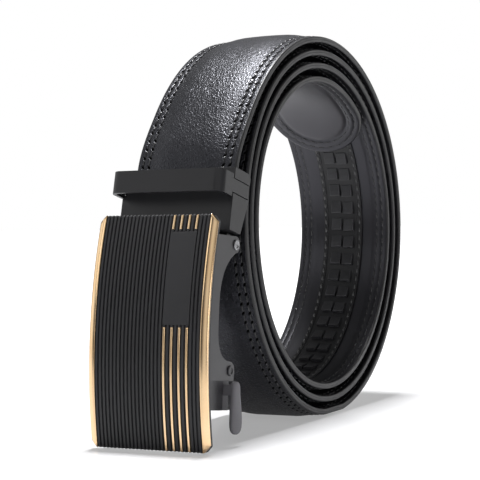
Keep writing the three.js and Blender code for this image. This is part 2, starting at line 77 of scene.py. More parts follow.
def meshPiece(name, points, faces, body, materials, replaced=(), smooth=True, faceMaterials=None):
    mesh = bpy.data.meshes.new(name)
    mesh.from_pydata(np.asarray(points, float).reshape(-1, 3).tolist(), [], faces)
    for material in materials:
        mesh.materials.append(material)
    if faceMaterials is not None:
        mesh.polygons.foreach_set("material_index", np.asarray(faceMaterials, np.int32))
    mesh.polygons.foreach_set("use_smooth", np.full(len(mesh.polygons), smooth))
    mesh.update()
    piece = bpy.data.objects.new(name, mesh)
    bpy.context.scene.collection.objects.link(piece)
    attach(piece, body)
    if replaced:
        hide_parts(*replaced)
    return piece


def loftFaces(rows, count):
    # a closed tube: quads between neighbouring rings, and one many-sided face at each end
    across = np.arange(count)
    along = np.arange(rows - 1)[:, None]
    a = along * count + across
    b = along * count + (across + 1) % count
    quads = np.stack([a, b, b + count, a + count], -1).reshape(-1, 4)
    first = list(range(count))[::-1]
    last = list(range((rows - 1) * count, rows * count))
    return quads.tolist() + [first, last]


def copiedFaces(faces, offset, size=0, copies=1):
    # the same faces for copies of a shape, whose points follow each other from offset on
    return [[index + offset + size * i for index in face] for i in range(copies) for face in faces]


def fullTurn(count):
    return np.arange(count) / count * 2 * math.pi


def facedOut(piece):
    # turns every face of a closed piece to the outside
    work = bmesh.new()
    work.from_mesh(piece.data)
    bmesh.ops.recalc_face_normals(work, faces=work.faces)
    work.to_mesh(piece.data)
    work.free()
    return piece


def setVectors(piece, name, values):
    attribute = piece.data.attributes.new(name, "FLOAT_VECTOR", "POINT")
    attribute.data.foreach_set("vector", np.asarray(values, np.float32).ravel())


def bevelled(piece, width, segments=2, angle=30):
    bevel = piece.modifiers.new("roundedEdges", "BEVEL")
    bevel.width = width
    bevel.segments = segments
    bevel.limit_method = "ANGLE"
    bevel.angle_limit = math.radians(angle)


def roundedNode(name, width, material, segments=2):
    # a node of the frame with its loose corners welded, its edges rounded and a finish of its own
    piece = frame["nodes"][name]
    weld = piece.modifiers.new("weldedCorners", "WELD")
    weld.merge_threshold = 0.002 * mm
    bevelled(piece, width, segments)
    piece.data.materials.clear()
    piece.data.materials.append(material)


# Materials

def putValue(tree, socket, value):
    # value is either another node's output, which is linked, or a plain value
    if isinstance(value, bpy.types.NodeSocket):
        tree.links.new(value, socket)
    else:
        socket.default_value = value


def addNode(tree, kind, inputs=None, **settings):
    node = tree.nodes.new("ShaderNode" + kind)
    for key, value in settings.items():
        setattr(node, key, value)
    for key, value in (inputs or {}).items():
        putValue(tree, node.inputs[key], value)
    return node


def calculate(tree, operation, *values):
    return addNode(tree, "Math", dict(enumerate(values)), operation=operation).outputs[0]


def ramp(tree, factor, low, high, start=0.0, end=1.0):
    inputs = {0: factor, 1: low, 2: high, 3: start, 4: end}
    return addNode(tree, "MapRange", inputs, clamp=True).outputs[0]


def noise(tree, vector, scale, detail=2.0, output=0):
    # fractal noise: output 0 is its value, 1 its colour
    inputs = {"Vector": vector, "Scale": scale, "Detail": detail}
    return addNode(tree, "TexNoise", inputs).outputs[output]


def cells(tree, vector, scale):
    # the distance to the nearest edge of irregular cells
    node = addNode(tree, "TexVoronoi", {"Vector": vector, "Scale": scale}, feature="DISTANCE_TO_EDGE")
    return node.outputs[0]


def stretched(tree, vector, scale):
    return addNode(tree, "Mapping", {"Vector": vector, "Scale": scale}).outputs[0]


def named(tree, attribute):
    return addNode(tree, "Attribute", attribute_name=attribute).outputs["Vector"]


def objectPlace(tree):
    return addNode(tree, "TexCoord").outputs["Object"]


def mixColours(tree, factor, first, second):
    first, second = ((*colour, 1) if isinstance(colour, tuple) else colour for colour in (first, second))
    return addNode(tree, "Mix", {0: factor, 6: first, 7: second}, data_type="RGBA").outputs[2]


def newMaterial(name, metallic=0.0, specular=0.5, tint=(1.0, 1.0, 1.0)):
    material = bpy.data.materials.new(name)
    material.use_nodes = True
    tree = material.node_tree
    shader = tree.nodes["Principled BSDF"]
    shader.inputs["Metallic"].default_value = metallic
    shader.inputs["Specular IOR Level"].default_value = specular
    shader.inputs["Specular Tint"].default_value = (*tint, 1.0)
    return material, tree, shader


def setFinish(tree, shader, colour, roughness, height=None, bump=0.1, distance=0.1 * mm):
    putValue(tree, shader.inputs["Base Color"], colour)
    putValue(tree, shader.inputs["Roughness"], roughness)
    if height is not None:
        bumpNode = addNode(tree, "Bump", {"Strength": bump, "Distance": distance, "Height": height})
        tree.links.new(bumpNode.outputs[0], shader.inputs["Normal"])


stitching = {
    "rows": (2.1 * mm, 4.3 * mm),       # distance of each row from the strap's edge
    "pitch": 3.2 * mm,
    "length": 2.5 * mm,
    "radius": 0.22 * mm,
    "hole": 0.60 * mm,
    "slant": 0.6,                       # how far a hole leans across its row
}


def stitchHoles(tree, coords):
    # 1 in the needle holes: coords hold the length along the outline and the distance from the edge
    length, fromEdge = addNode(tree, "SeparateXYZ", {0: coords}).outputs[:2]
    inner, outer = stitching["hole"] * 0.7, stitching["hole"] * 1.3
    holes = None
    for row in stitching["rows"]:
        away = calculate(tree, "SUBTRACT", fromEdge, row)
        leaning = calculate(tree, "MULTIPLY_ADD", away, stitching["slant"], length)
        along = calculate(tree, "PINGPONG", leaning, stitching["pitch"] / 2)
        square = calculate(tree, "MULTIPLY_ADD", along, along, calculate(tree, "MULTIPLY", away, away))
        near = ramp(tree, calculate(tree, "SQRT", square), inner, outer, 1.0, 0.0)
        holes = near if holes is None else calculate(tree, "MAXIMUM", holes, near)
    return holes


leather = {
    # linear colours; pebbles and pores as cells to a metre
    # the dark pebble colour is painted shade in the valleys between pebbles
    "pebbleDark": (0.0012, 0.0012, 0.0015), "pebbleLight": (0.0105, 0.0105, 0.0128),
    # the hole colours, here and in the smooth leather below, are painted shade for the needle holes
    "pebbleTone": (0.0065, 0.0065, 0.0080), "pebbleHole": (0.001, 0.001, 0.001),
    "pebbles": 1250.0, "smallPebbles": 2300.0, "pebbleBump": 0.70, "pebbleLength": 0.72,
    "smoothDark": (0.0075, 0.0072, 0.0085), "smoothLight": (0.0115, 0.0110, 0.0125),
    "smoothHole": (0.003, 0.003, 0.003), "pores": 1700.0, "smoothBump": 0.22,
    "tipPatch": (0.030, 0.028, 0.030), "tipPatchEdge": (5.2 * mm, 6.2 * mm),
    "edgeDark": (0.008, 0.008, 0.009), "edgeLight": (0.015, 0.015, 0.017),
}


def pebbledLeather():
    material, tree, shader = newMaterial("pebbledLeather", tint=(0.86, 0.88, 1.0))
    place = named(tree, "strapPlace")
    wander = noise(tree, place, 420.0, output=1)
    shift = addNode(tree, "VectorMath", {0: wander, "Scale": 0.0011}, operation="SCALE").outputs[0]
    moved = addNode(tree, "VectorMath", {0: place, 1: shift}, operation="ADD").outputs[0]
    long = stretched(tree, moved, (leather["pebbleLength"], 1.0, 1.0))
    domes = ramp(tree, cells(tree, long, leather["pebbles"]), 0.0, 0.34)
    broad = noise(tree, place, 90.0, 3.0)
    height = calculate(tree, "MULTIPLY_ADD", cells(tree, moved, leather["smallPebbles"]), 0.55, domes)
    height = calculate(tree, "MULTIPLY_ADD", noise(tree, place, 5200.0, 3.0), 0.30, height)
    holes = stitchHoles(tree, named(tree, "outlinePlace"))
    height = calculate(tree, "MULTIPLY_ADD", holes, -2.5, height)
    # painted shade: the colour darkens from each pebble's top down into the valleys between pebbles
    colour = mixColours(tree, ramp(tree, domes, 0.0, 0.6), leather["pebbleDark"], leather["pebbleLight"])
    colour = mixColours(tree, ramp(tree, broad, 0.35, 0.75, 0.0, 0.35), colour, leather["pebbleTone"])
    # painted shade: the needle holes are coloured near black, and further down they lose most of their
    # specular gloss
    colour = mixColours(tree, holes, colour, leather["pebbleHole"])
    gloss = calculate(tree, "MULTIPLY_ADD", broad, 0.10, ramp(tree, domes, 0.0, 1.0, 0.38, 0.22))
    gloss = calculate(tree, "MULTIPLY_ADD", holes, 0.4, gloss)
    tree.links.new(ramp(tree, holes, 0.0, 1.0, 0.62, 0.02), shader.inputs["Specular IOR Level"])
    setFinish(tree, shader, colour, gloss, height, leather["pebbleBump"])
    return material


def smoothLeather():
    material, tree, shader = newMaterial("smoothLeather", specular=0.6, tint=(0.90, 0.90, 1.0))
    place = named(tree, "strapPlace")
    outline = named(tree, "outlinePlace")
    broad = noise(tree, place, 60.0, 3.0)
    holes = stitchHoles(tree, outline)
    grain = noise(tree, place, 3800.0, 4.0)
    height = calculate(tree, "MULTIPLY_ADD", cells(tree, place, leather["pores"]), 0.35, grain)
    height = calculate(tree, "MULTIPLY_ADD", holes, -1.5, height)
    colour = mixColours(tree, ramp(tree, broad, 0.3, 0.7), leather["smoothDark"], leather["smoothLight"])
    # the lighter patch within the stitched border of the tip, whose share is the third value
    parts = addNode(tree, "SeparateXYZ", {0: outline}).outputs
    patch = calculate(tree, "MULTIPLY", ramp(tree, parts[1], *leather["tipPatchEdge"]), parts[2])
    colour = mixColours(tree, patch, colour, leather["tipPatch"])
    # painted shade: the needle holes are coloured dark
    colour = mixColours(tree, holes, colour, leather["smoothHole"])
    gloss = ramp(tree, broad, 0.3, 0.7, 0.33, 0.42)
    setFinish(tree, shader, colour, gloss, height, leather["smoothBump"], 0.05 * mm)
    return material


def paintedEdge():
    material, tree, shader = newMaterial("paintedEdge", specular=0.45)
    waves = noise(tree, stretched(tree, named(tree, "strapPlace"), (0.12, 1.0, 1.0)), 1500.0, 3.0)
    colour = mixColours(tree, ramp(tree, waves, 0.3, 0.7), leather["edgeDark"], leather["edgeLight"])
    setFinish(tree, shader, colour, ramp(tree, waves, 0.3, 0.7, 0.34, 0.46), waves, 0.25, 0.08 * mm)
    return material


def thread():
    material, tree, shader = newMaterial("blackThread", specular=0.8)
    inputs = {"Vector": objectPlace(tree), "Scale": 900.0, "Distortion": 1.5}
    twist = addNode(tree, "TexWave", inputs).outputs[1]
    colour = mixColours(tree, twist, (0.004, 0.004, 0.005), (0.018, 0.018, 0.020))
    setFinish(tree, shader, colour, ramp(tree, twist, 0.0, 1.0, 0.22, 0.36), twist, 0.5, 0.05 * mm)
    return material


def mouldedPlastic(name, dark, light):
    material, tree, shader = newMaterial(name, specular=0.4)
    fine = noise(tree, objectPlace(tree), 2500.0, 3.0)
    colour = mixColours(tree, noise(tree, objectPlace(tree), 120.0), dark, light)
    setFinish(tree, shader, colour, ramp(tree, fine, 0.3, 0.7, 0.36, 0.5), fine, 0.2, 0.04 * mm)
    return material


def blackMetal(name, dark, light, roughness, grain=3000.0, bump=0.12):
    # sprayed metal: a fine orange peel with a faint change of tone
    material, tree, shader = newMaterial(name)
    peel = noise(tree, objectPlace(tree), grain, 3.0)
    colour = mixColours(tree, ramp(tree, noise(tree, objectPlace(tree), 70.0), 0.3, 0.7), dark, light)
    gloss = ramp(tree, peel, 0.25, 0.75, roughness - 0.04, roughness + 0.05)
    setFinish(tree, shader, colour, gloss, peel, bump, 0.03 * mm)
    return material


def polishedGold():
    material, tree, shader = newMaterial("polishedGold", metallic=1.0)
    brush = noise(tree, stretched(tree, objectPlace(tree), (1.0, 1.0, 0.03)), 4200.0, 3.0)
    broad = ramp(tree, noise(tree, objectPlace(tree), 80.0), 0.3, 0.7)
    colour = mixColours(tree, broad, (0.86, 0.59, 0.33), (0.93, 0.68, 0.42))
    setFinish(tree, shader, colour, ramp(tree, brush, 0.3, 0.7, 0.11, 0.19), brush, 0.10, 0.02 * mm)
    return material


def brightSteel():
    material, tree, shader = newMaterial("brightSteel", metallic=1.0)
    scratches = noise(tree, objectPlace(tree), 2600.0, 4.0)
    colour = mixColours(tree, scratches, (0.20, 0.20, 0.21), (0.36, 0.36, 0.37))
    setFinish(tree, shader, colour, ramp(tree, scratches, 0.3, 0.7, 0.2, 0.34), scratches, 0.2, 0.03 * mm)
    return material


finishes = {
    "pebbled": pebbledLeather(),
    "smooth": smoothLeather(),
    "edge": paintedEdge(),
    "thread": thread(),
    "track": mouldedPlastic("mouldedTrack", (0.008, 0.008, 0.009), (0.013, 0.013, 0.015)),
    # painted light: the teeth take a lighter copy of the track's plastic, standing for the light that falls
    # on their tops
    "teeth": mouldedPlastic("mouldedTeeth", (0.030, 0.030, 0.033), (0.044, 0.044, 0.048)),
    "plate": blackMetal("plateBlack", (0.022, 0.022, 0.024), (0.028, 0.028, 0.031), 0.50),
    "clamp": blackMetal("clampBlack", (0.010, 0.010, 0.012), (0.014, 0.014, 0.016), 0.42),
    "frame": blackMetal("frameGrey", (0.030, 0.029, 0.033), (0.040, 0.039, 0.043), 0.36),
    "lever": blackMetal("leverGrey", (0.150, 0.146, 0.158), (0.185, 0.180, 0.195), 0.55, 2200.0, 0.3),
    "gold": polishedGold(),
    "steel": brightSteel(),
}
print("stage: materials")


# The strap's path: straight up through the clamp, a lead-in, then the coil's turns

coil = {
    "radius": 65.2 * mm, "layerPitch": 4.37 * mm, "frontDrift": 0.86 * mm,
    "leadRise": 16.3 * mm, "leadFade": 0.26, "leadAngle": 35, "endAngle": 1223.5,
    "tipTuck": 0.8 * mm, "tipTuckAngle": 1080, "pressDepth": 0.45 * mm, "bottomAngle": 270,
    "standoff": 2.4 * mm, "crown": 0.3 * mm,
    "waves": {2: (-0.88 * mm, 0.2 * mm), 3: (-0.2 * mm, 0.36 * mm)},   # cosine and sine by waves to a turn
    "angleStep": 0.5, "clampSamples": 20, "leadSamples": 60, "evenSamples": 5000, "easing": 15,
}
clamp = {
    "tilt": math.radians(15), "height": 19.1 * mm, "hingeDepth": 7.2 * mm, "hingeDrop": 3.1 * mm,
    "strapFace": 2.7 * mm, "strapStart": 1.6 * mm,
}
coilY = hingeY + coil["radius"] + coil["standoff"]


def coilRadius(angle):
    # an even spiral, out of round by a few waves, with a quick rise at its start and a tuck at its tip
    theta = np.radians(angle)
    turns = angle / 360
    radius = coil["radius"] - coil["layerPitch"] * turns + coil["frontDrift"] * turns * np.cos(theta)
    radius = radius + coil["leadRise"] * np.exp(-theta / coil["leadFade"])
    for count, (cosine, sine) in coil["waves"].items():
        radius = radius + cosine * np.cos(count * theta) + sine * np.sin(count * theta)
    tuck = np.maximum(0, (angle - coil["tipTuckAngle"]) / (coil["endAngle"] - coil["tipTuckAngle"]))
    return radius - coil["tipTuck"] * tuck ** 2


def coilPoints(angle):
    # Y and Z of the face at an angle round the coil, flattened where it rests on the floor
    angle = np.asarray(angle, float)
    radius = coilRadius(angle)
    bottom = coil["bottomAngle"]
    centre = -coilRadius(bottom) * math.sin(math.radians(bottom)) - coil["pressDepth"] + coil["crown"]
    height = centre + radius * np.sin(np.radians(angle))
    return np.stack([coilY - radius * np.cos(np.radians(angle)), np.maximum(height, coil["crown"])], -1)


def turned(depth, height, tilt, cornerY, cornerZ):
    # a point given in a tilted piece's own depth and height, in the frame's Y and Z
    y = cornerY + depth * math.cos(tilt) + height * math.sin(tilt)
    z = cornerZ - depth * math.sin(tilt) + height * math.cos(tilt)
    return np.stack([y, z], -1)


def strapPath():
    # even steps of length with their points and outward normals
    tilt, step = clamp["tilt"], coil["angleStep"]
    corner = turned(-clamp["hingeDepth"], clamp["hingeDrop"], tilt, hingeY, hingeZ)
    start = turned(clamp["strapFace"], clamp["strapStart"], tilt, *corner)
    mouth = turned(clamp["strapFace"], clamp["height"], tilt, *corner)
    join = coilPoints(coil["leadAngle"])
    heading = join - coilPoints(coil["leadAngle"] - step)
    heading = heading / np.linalg.norm(heading)
    upward = (mouth - start) / np.linalg.norm(mouth - start)
    reach = np.linalg.norm(join - mouth) / 3
    t = np.linspace(0, 1, coil["leadSamples"])[:, None]
    hold, pull = mouth + upward * reach, join - heading * reach
    lead = mouth * (1 - t) ** 3 + 3 * hold * t * (1 - t) ** 2 + 3 * pull * t ** 2 * (1 - t) + join * t ** 3
    straight = start + (mouth - start) * np.linspace(0, 1, coil["clampSamples"])[:-1, None]
    turns = coilPoints(np.arange(coil["leadAngle"] + step, coil["endAngle"] + 0.01, step))
    points = np.concatenate([straight, lead, turns])
    length = np.concatenate([[0], np.cumsum(np.linalg.norm(np.diff(points, axis=0), axis=1))])
    even = np.linspace(0, length[-1], coil["evenSamples"])
    points = np.stack([np.interp(even, length, points[:, i]) for i in (0, 1)], -1)
    tangent = np.gradient(points, even, axis=0)
    kernel = np.hanning(coil["easing"])
    kernel = kernel / kernel.sum()
    tangent = np.pad(tangent, ((len(kernel) // 2,) * 2, (0, 0)), "edge")
    tangent = np.stack([np.convolve(tangent[:, i], kernel, "valid") for i in (0, 1)], -1)
    tangent = tangent / np.linalg.norm(tangent, axis=1, keepdims=True)
    return even, points, np.stack([-tangent[:, 1], tangent[:, 0]], -1)


pathLength, pathPoints, pathNormals = strapPath()
strapEnd = pathLength[-1]
clampMouth = clamp["height"] - clamp["strapStart"]


def onStrap(along, across, outward):
    # points of the frame from length along the strap, X across it and height above its face
    point = [np.interp(along, pathLength, pathPoints[:, i]) for i in (0, 1)]
    normal = [np.interp(along, pathLength, pathNormals[:, i]) for i in (0, 1)]
    size = np.hypot(*normal)
    yz = [place + direction / size * outward for place, direction in zip(point, normal)]
    return np.stack([across + 0 * along, *yz], -1)


# Strap

strap = {
    "halfWidth": 17.5 * mm, "thickness": 2.6 * mm, "faceThickness": 1.5 * mm, "edgeRound": 0.5 * mm,
    "marginDrop": 0.30 * mm, "marginSlope": 0.35 * mm, "rowDepth": 0.16 * mm, "rowWidth": 0.4 * mm,
    "groove": 5.2 * mm, "grooveDepth": 0.06 * mm, "grooveWidth": 0.7 * mm,
    "padStart": 4.7 * mm, "padEnd": 10.5 * mm, "padHeight": 0.26 * mm, "rowStep": 1.5 * mm,
    "domeHeight": 0.5 * mm, "domeFloor": (14 * mm, 40 * mm), "domeFade": 8 * mm,
    "backRowHeight": 0.10 * mm, "backRowWidth": 0.35 * mm, "backRidge": 0.08 * mm, "backRidgeWidth": 0.6 * mm,
    "tipPadDepth": 0.30 * mm, "tipPadStart": 26 * mm, "tipPadFade": 8 * mm, "edgePaint": 4,
}
tipCentre = strapEnd - strap["halfWidth"]
turnRadius = strap["halfWidth"] - sum(stitching["rows"]) / 2   # midway between both stitch rows

# distances from the edge at which each row has a point, close together where the relief is steep
edgeSamples = np.array([
    0.02, 0.1, 0.25, 0.5, 1.0, 1.6, 1.85, 2.1, 2.35, 2.7, 3.4, 3.95, 4.3, 4.65, 5.0, 5.3, 5.6,
    6.0, 6.6, 7.3, 8.1, 9.0, 10.5, 12.5, 15.0,
]) * mm


def edgeCurve(distance, radius):
    # a quarter circle down from the face to the edge
    inside = np.clip(radius - distance, 0, radius)
    return np.sqrt(radius ** 2 - inside ** 2) - radius


def faceDome(distance, along):
    # the soft filling under the face: full at the middle, flat in the clamp and near the floor
    inward = np.clip((distance - strap["padStart"]) / (strap["halfWidth"] - strap["padStart"]), 0, 1)
    free = smoothStep(clampMouth, clampMouth + strap["domeFade"], along)
    free = free * smoothStep(*strap["domeFloor"], np.interp(along, pathLength, pathPoints[:, 1]))
    return strap["domeHeight"] * free * (1 - (1 - inward) ** 2)


def faceRelief(distance):
    # a low margin with sunk stitch rows and a groove, then the rise to the padded middle
    relief = edgeCurve(distance, strap["edgeRound"]) - strap["marginDrop"]
    relief = relief - strap["marginSlope"] * np.clip(1 - distance / strap["padStart"], 0, 1)
    for row in stitching["rows"]:
        relief = relief - strap["rowDepth"] * dent(distance, row, strap["rowWidth"])
    relief = relief - strap["grooveDepth"] * dent(distance, strap["groove"], strap["grooveWidth"])
    rise = smoothStep(strap["padStart"], strap["padEnd"], distance)
    return relief + (strap["padHeight"] + strap["marginDrop"]) * rise


def tipShare(along):
    # 1 in the pressed pad of the tip, 0 on the rest of the strap
    start = strapEnd - strap["tipPadStart"]
    return smoothStep(start - strap["tipPadFade"], start, along)


def backRelief(distance, along):
    # the smooth back: raised stitch rows and a low ridge, which is a high border round the tip
    relief = -strap["thickness"] - edgeCurve(distance, strap["edgeRound"])
    for row in stitching["rows"]:
        relief = relief + strap["backRowHeight"] * dent(distance, row, strap["backRowWidth"])
    tip = tipShare(along)
    border = strap["tipPadDepth"] * dent(distance, strap["groove"], strap["grooveWidth"])
    ridge = strap["backRidge"] * dent(distance, strap["groove"], strap["backRidgeWidth"])
    return relief + border * tip + ridge * (1 - tip)


def strapRows():
    # lengths at which the strap has a row of points: even steps, then closer ones round the tip
    body = np.arange(0, tipCentre - 0.2 * mm, strap["rowStep"])
    tip = strapEnd - np.concatenate([edgeSamples, [16.3 * mm, 17.4 * mm]])
    tip = np.concatenate([tip, strapEnd - np.arange(2.2, 17, 0.6) * mm])
    return np.concatenate([body, np.unique(np.round(np.sort(tip), 6))])


def strapOutline(along, share):
    # places across each row and their distance from the nearest edge, with the tip a half circle
    beyond = np.maximum(0, along - tipCentre)
    half = np.sqrt(np.maximum(strap["halfWidth"] ** 2 - beyond ** 2, 1e-12))
    across = half * share
    distance = strap["halfWidth"] - np.hypot(across, beyond)
    return across, np.maximum(distance, 0)


def strapSkin(name, topLayer, replaced):
    # each row is a closed section: the shaped side, then the flat side that meets the other layer
    share = 1 - np.concatenate([edgeSamples, [strap["halfWidth"]]]) / strap["halfWidth"]
    share = np.concatenate([-share, share[::-1][1:]])
    along = strapRows()[:, None]
    across, distance = strapOutline(along, share[None, :])
    joint, below = -strap["faceThickness"], strap["edgeRound"] + 0.05 * mm
    if topLayer:
        shaped = faceRelief(distance) + faceDome(distance, along)
        levels = np.linspace(-below - strap["marginDrop"] - strap["marginSlope"], joint, 4)
    else:
        shaped = backRelief(distance, along)
        levels = np.linspace(-strap["thickness"] + below, joint, 3)
    side, sideDistance = strapOutline(along, np.ones((1, len(levels))))
    allAcross = np.concatenate([across, side, -side], 1)
    allOutward = np.concatenate([shaped, side * 0 + levels, side * 0 + levels[::-1]], 1)
    allDistance = np.concatenate([distance, sideDistance, sideDistance], 1)
    rows, count = allAcross.shape
    a = np.broadcast_to(along, allAcross.shape).ravel()
    x, w = allAcross.ravel(), allOutward.ravel()
    column = np.arange(count)
    painted = (column >= across.shape[1] - strap["edgePaint"]) | (column < strap["edgePaint"] - 1)
    faceMaterials = np.concatenate([np.tile(painted, rows - 1), [True, True]]).astype(int)
    main = finishes["pebbled"] if topLayer else finishes["smooth"]
    piece = meshPiece(name, onStrap(a, x, w), loftFaces(rows, count), "root", [main, finishes["edge"]],
                      replaced, True, faceMaterials)
    setVectors(piece, "strapPlace", np.stack([a, x, 0.3 * w], -1))
    setVectors(piece, "outlinePlace", np.stack([outlineLength(a, x), allDistance.ravel(), tipShare(a)], -1))
    return piece


def outlineLength(along, across):
    # length along the outline, round the tip as if midway between both stitch rows
    beyond = along - tipCentre
    turn = np.arctan2(np.maximum(beyond, 0), np.abs(across) + 1e-9)
    return np.where(beyond > 0, tipCentre + turn * turnRadius, along)


facedOut(strapSkin("strapFace", True, ["outer_leather"]))
facedOut(strapSkin("strapBack", False, ["backing_leather"]))
print("stage: strap", round(strapEnd, 4), "m long")


# Stitches

def capsuleRings():
    # a flattened thread: rings of six points, narrow at both ends, as length, side and height shares
    turn = fullTurn(6)
    places = np.array([-0.5, -0.42, -0.2, 0.2, 0.42, 0.5])
    sizes = np.array([0.35, 0.85, 1.0, 1.0, 0.85, 0.35])
    dips = np.array([-1.0, -0.45, 0.0, 0.0, -0.45, -1.0])
    side = sizes[:, None] * np.cos(turn)
    height = sizes[:, None] * np.sin(turn) * 0.75 + dips[:, None]
    return np.broadcast_to(places[:, None], side.shape).ravel(), side.ravel(), height.ravel()


def stitchRow(row, firstAlong):
    # centres and directions of one row of stitches: up one side, round the tip, and down the other
    radius, pitch = strap["halfWidth"] - row, stitching["pitch"]
    lastSide = int(tipCentre / pitch)
    lastTurn = int((tipCentre + turnRadius * math.pi / 2) / pitch)
    straight = (np.arange(math.ceil(firstAlong / pitch), lastSide + 1) + 0.5) * pitch
    straight = straight[straight < tipCentre]
    turn = ((np.arange(lastSide, lastTurn + 1) + 0.5) * pitch - tipCentre) / turnRadius
    turn = turn[(turn > 0) & (turn < math.pi / 2)]
    along = np.concatenate([straight, tipCentre + radius * np.sin(turn)])
    across = np.concatenate([np.full(len(straight), radius), radius * np.cos(turn)])
    lean = np.concatenate([np.zeros(len(straight)), turn])
    return (np.concatenate([along, along]), np.concatenate([across, -across]), np.concatenate([-lean, lean]),
            np.full(2 * len(along), row))


def threads(name, places, height, size):
    # one small closed thread for each stitch, laid along its row
    along, across, lean = places[:3]
    share, side, lift = capsuleRings()
    length = share[None, :] * stitching["length"]
    width = side[None, :] * size
    a = along[:, None] + length * np.cos(lean)[:, None] - width * np.sin(lean)[:, None]
    x = across[:, None] + length * np.sin(lean)[:, None] + width * np.cos(lean)[:, None]
    w = np.reshape(height, (-1, 1)) + lift[None, :] * size
    points = onStrap(a.ravel(), x.ravel(), (w + 0 * a).ravel())
    faces = copiedFaces(loftFaces(6, 6), 0, len(share), len(along))
    facedOut(meshPiece(name, points, faces, "root", [finishes["thread"]]))


def allRows(first):
    # both rows: places along and across, lean, and the row's distance from the edge
    rows = [stitchRow(row, first) for row in stitching["rows"]]
    return tuple(np.concatenate(part) for part in zip(*rows))


facePlaces = allRows(clampMouth - 4 * mm)
backPlaces = allRows(clampMouth + 2 * mm)
faceLevels = faceRelief(facePlaces[3]) + 0.10 * mm
threads("faceStitches", facePlaces, faceLevels, stitching["radius"])
threads("backStitches", backPlaces, 0.06 * mm - strap["thickness"], -0.2 * mm)
print("stage: stitches")


# Ratchet track

track = {
    "width": 15 * mm, "length": 300 * mm, "fromTip": 56 * mm, "shift": -0.1 * mm, "base": 0.3 * mm,
    "seat": 0.05 * mm, "railWidth": 1.5 * mm, "railHeight": 0.3 * mm, "pitch": 6.7 * mm,
    "toothLength": 4.6 * mm, "toothWidth": 3.9 * mm, "toothHeight": 1.25 * mm, "split": 0.8 * mm,
    "round": 0.12 * mm, "rows": 260, "firstTooth": 0.4, "stagger": 0.06,   # the last two: shares of the pitch
}
trackBegin = strapEnd - track["fromTip"] - track["length"]


def trackStrip():
    # one closed section carried along the strap: a thin base with a rounded rail on each side
    half, low, r = track["width"] / 2, track["base"], track["round"]
    rail, top = half - track["railWidth"], low + track["railHeight"]
    right = [(half, 0), (half, top - r), (half - r, top), (rail + r, top), (rail, top - r), (rail - r, low)]
    section = np.array(right + [(-x, w) for x, w in right[::-1]])
    along = np.linspace(trackBegin, trackBegin + track["length"], track["rows"])[:, None]
    across = section[None, :, 0] + track["shift"] + 0 * along
    outward = -strap["thickness"] - track["seat"] - section[None, :, 1] + 0 * along
    points = onStrap((along + 0 * across).ravel(), across.ravel(), outward.ravel())
    return points, loftFaces(len(along), len(section))


def trackTeeth():
    # each tooth is a small closed ramp: low at its near end, full height, then a steep rounded drop
    profile = np.array([(0.0, 0.0), (0.02, 0.30), (0.55, 0.80), (0.90, 1.0), (0.97, 0.92), (1.0, 0.0)])
    sides = np.array([(0.0, 0.0), (0.0, 0.85), (0.06, 1.0), (0.94, 1.0), (1.0, 0.85), (1.0, 0.0)])
    rows = int((track["length"] - track["toothLength"]) / track["pitch"])
    starts = trackBegin + track["pitch"] * (np.arange(rows) + track["firstTooth"])
    grid = (len(profile), len(sides))
    share = np.broadcast_to(profile[:, None, 0], grid).ravel() * track["toothLength"]
    place = np.broadcast_to(sides[None, :, 0], grid).ravel() * track["toothWidth"]
    rise = (profile[:, None, 1] * sides[None, :, 1]).ravel() * track["toothHeight"]
    points, faces = [], []
    for column in (-1, 1):
        near = track["shift"] + column * (track["split"] + track["toothWidth"]) / 2 - track["toothWidth"] / 2
        shift = 0.0 if column < 0 else track["pitch"] * track["stagger"]
        along = ((starts + shift)[:, None] + share[None, :]).ravel()
        across = np.tile(near + place, rows)
        level = np.tile(-strap["thickness"] - track["seat"] - track["base"] * 0.5 - rise, rows)
        faces += copiedFaces(loftFaces(*grid), sum(len(part) for part in points), len(share), rows)
        points.append(onStrap(along, across, level))
    return np.concatenate(points), faces


stripPoints, stripFaces = trackStrip()
toothPoints, toothFaces = trackTeeth()
trackFaces = stripFaces + copiedFaces(toothFaces, len(stripPoints))
isTooth = np.arange(len(trackFaces)) >= len(stripFaces)
# the second finish, on the teeth, is the painted-light copy of the track's plastic
facedOut(meshPiece("ratchetTrack", np.concatenate([stripPoints, toothPoints]), trackFaces, "root",
                  [finishes["track"], finishes["teeth"]], ["ratchet_track"], False, isTooth))


def trackStitches():
    # a single row of small stitches along each rail
    pitch = stitching["pitch"]
    along = np.arange(trackBegin + pitch, trackBegin + track["length"] - pitch, pitch)
    sides = [track["shift"] + side * (track["width"] - track["railWidth"]) / 2 for side in (-1, 1)]
    across = np.repeat(sides, len(along))
    return np.concatenate([along, along]), across, 0 * across


railLevel = -strap["thickness"] - track["seat"] - track["base"] - track["railHeight"]
threads("trackStitches", trackStitches(), railLevel, -0.40 * mm)
print("stage: track")


# Buckle plate

plate = {
    "length": 69.7 * mm, "thickness": 2.3 * mm, "sagitta": 4.05 * mm, "tilt": math.radians(7.2),
    "halfWidth": 20.46 * mm, "faceHalf": 18.06 * mm, "ribsEachSide": 14, "groove": 0.5 * mm,
    "chamferDrop": 0.68 * mm, "goldDepth": 0.45 * mm, "gap": 0.3 * mm, "pocket": 0.5 * mm, "foot": 0.6 * mm,
    "panelEnd": 29.55 * mm, "panelLength": 27.6 * mm, "panelGap": 0.06 * mm,
    "goldRibs": (4, 6, 8, 10), "lineGap": 0.7 * mm, "linePocket": 0.45 * mm,
    "lineWidth": 0.72 * mm, "lineCrown": 0.2 * mm,
    "hingeBehind": 15.5 * mm, "hingeRise": 26.9 * mm, "endChamfer": 0.5 * mm, "cornerCut": 2.4 * mm,
    "rows": 70,
}
plateRadius = (plate["length"] ** 2 / 4 + plate["sagitta"] ** 2) / (2 * plate["sagitta"])
